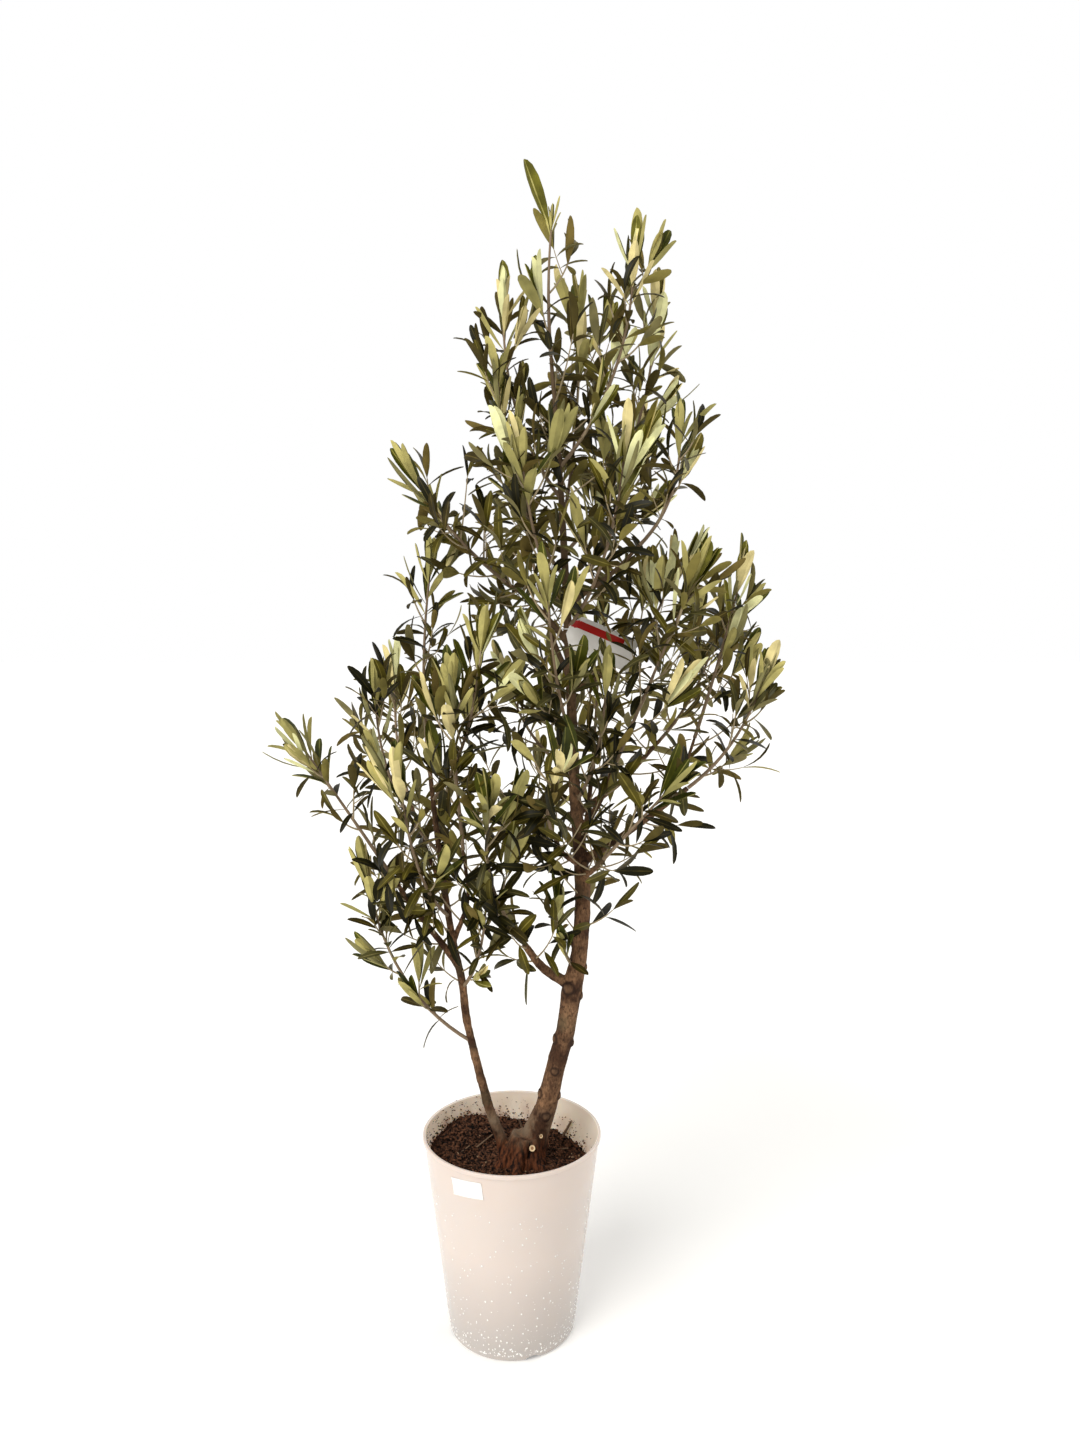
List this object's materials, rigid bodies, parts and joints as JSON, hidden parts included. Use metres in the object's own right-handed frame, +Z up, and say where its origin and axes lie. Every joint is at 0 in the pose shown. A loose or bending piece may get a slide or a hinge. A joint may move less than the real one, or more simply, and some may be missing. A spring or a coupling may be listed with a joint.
{
  "type": "potted olive tree",
  "caption": "Young olive tree with a leaning main trunk, a slimmer second stem and an open crown of narrow leaves, growing in a plain tapered white nursery pot.",
  "frame": {"origin": "centre of the pot's flat underside", "axes": "+Z up along the pot, +X to the right and +Y away in the view from the front, where the main trunk leans to the right and the second stem to the left"},
  "size_m": [0.699, 0.4644, 1.5278],
  "materials": {
    "pot_plastic": "smooth semi-gloss cream white",
    "sticker": "bare white sticker",
    "potting_mix": "dark, damp, crumbly bark and peat mix",
    "tag_card": "bare waterproof card",
    "bark": "smooth grey-brown bark",
    "young_bark": "smooth pale grey-brown young bark",
    "foliage": "leathery leaves, dark olive above and pale grey-green below"
  },
  "bodies": {
    "root": {"pot": "pot_plastic", "pot_label": "sticker", "soil": "potting_mix", "hang_tag": "tag_card", "trunk": "bark", "second_stem": "bark", "bough_back_high": "young_bark", "bough_back_low": "young_bark", "bough_back_right": "young_bark", "bough_fork_left": "young_bark", "bough_left_back": "young_bark", "bough_left_low": "young_bark", "bough_left_shoulder": "young_bark", "bough_left_thin": "young_bark", "bough_low_right": "young_bark", "bough_middle_right": "young_bark", "bough_right_inner": "young_bark", "bough_right_middle": "young_bark", "bough_right_outer": "young_bark", "bough_right_shoulder": "young_bark", "bough_whorl_left": "young_bark", "foliage_back_centre": "foliage", "foliage_centre_left": "foliage", "foliage_centre_low": "foliage", "foliage_far_left": "foliage", "foliage_far_right": "foliage", "foliage_fork_sprout": "foliage", "foliage_inner_left": "foliage", "foliage_inner_right": "foliage", "foliage_leader": "foliage", "foliage_left_back": "foliage", "foliage_left_front": "foliage", "foliage_left_inner": "foliage", "foliage_left_middle": "foliage", "foliage_left_outer": "foliage", "foliage_left_shoulder": "foliage", "foliage_left_thin": "foliage", "foliage_low_right": "foliage", "foliage_lower_left": "foliage", "foliage_middle_back": "foliage", "foliage_middle_front": "foliage", "foliage_middle_right": "foliage", "foliage_right_back": "foliage", "foliage_right_inner": "foliage", "foliage_right_middle": "foliage", "foliage_right_shoulder": "foliage", "foliage_stem_sprout": "foliage", "foliage_top_left": "foliage", "foliage_top_right": "foliage", "foliage_upper_back": "foliage", "foliage_upper_front": "foliage", "foliage_upper_left": "foliage", "foliage_upper_left_back": "foliage", "foliage_upper_right": "foliage", "foliage_upper_right_back": "foliage", "foliage_upper_right_front": "foliage"}
  },
  "joints": []
}
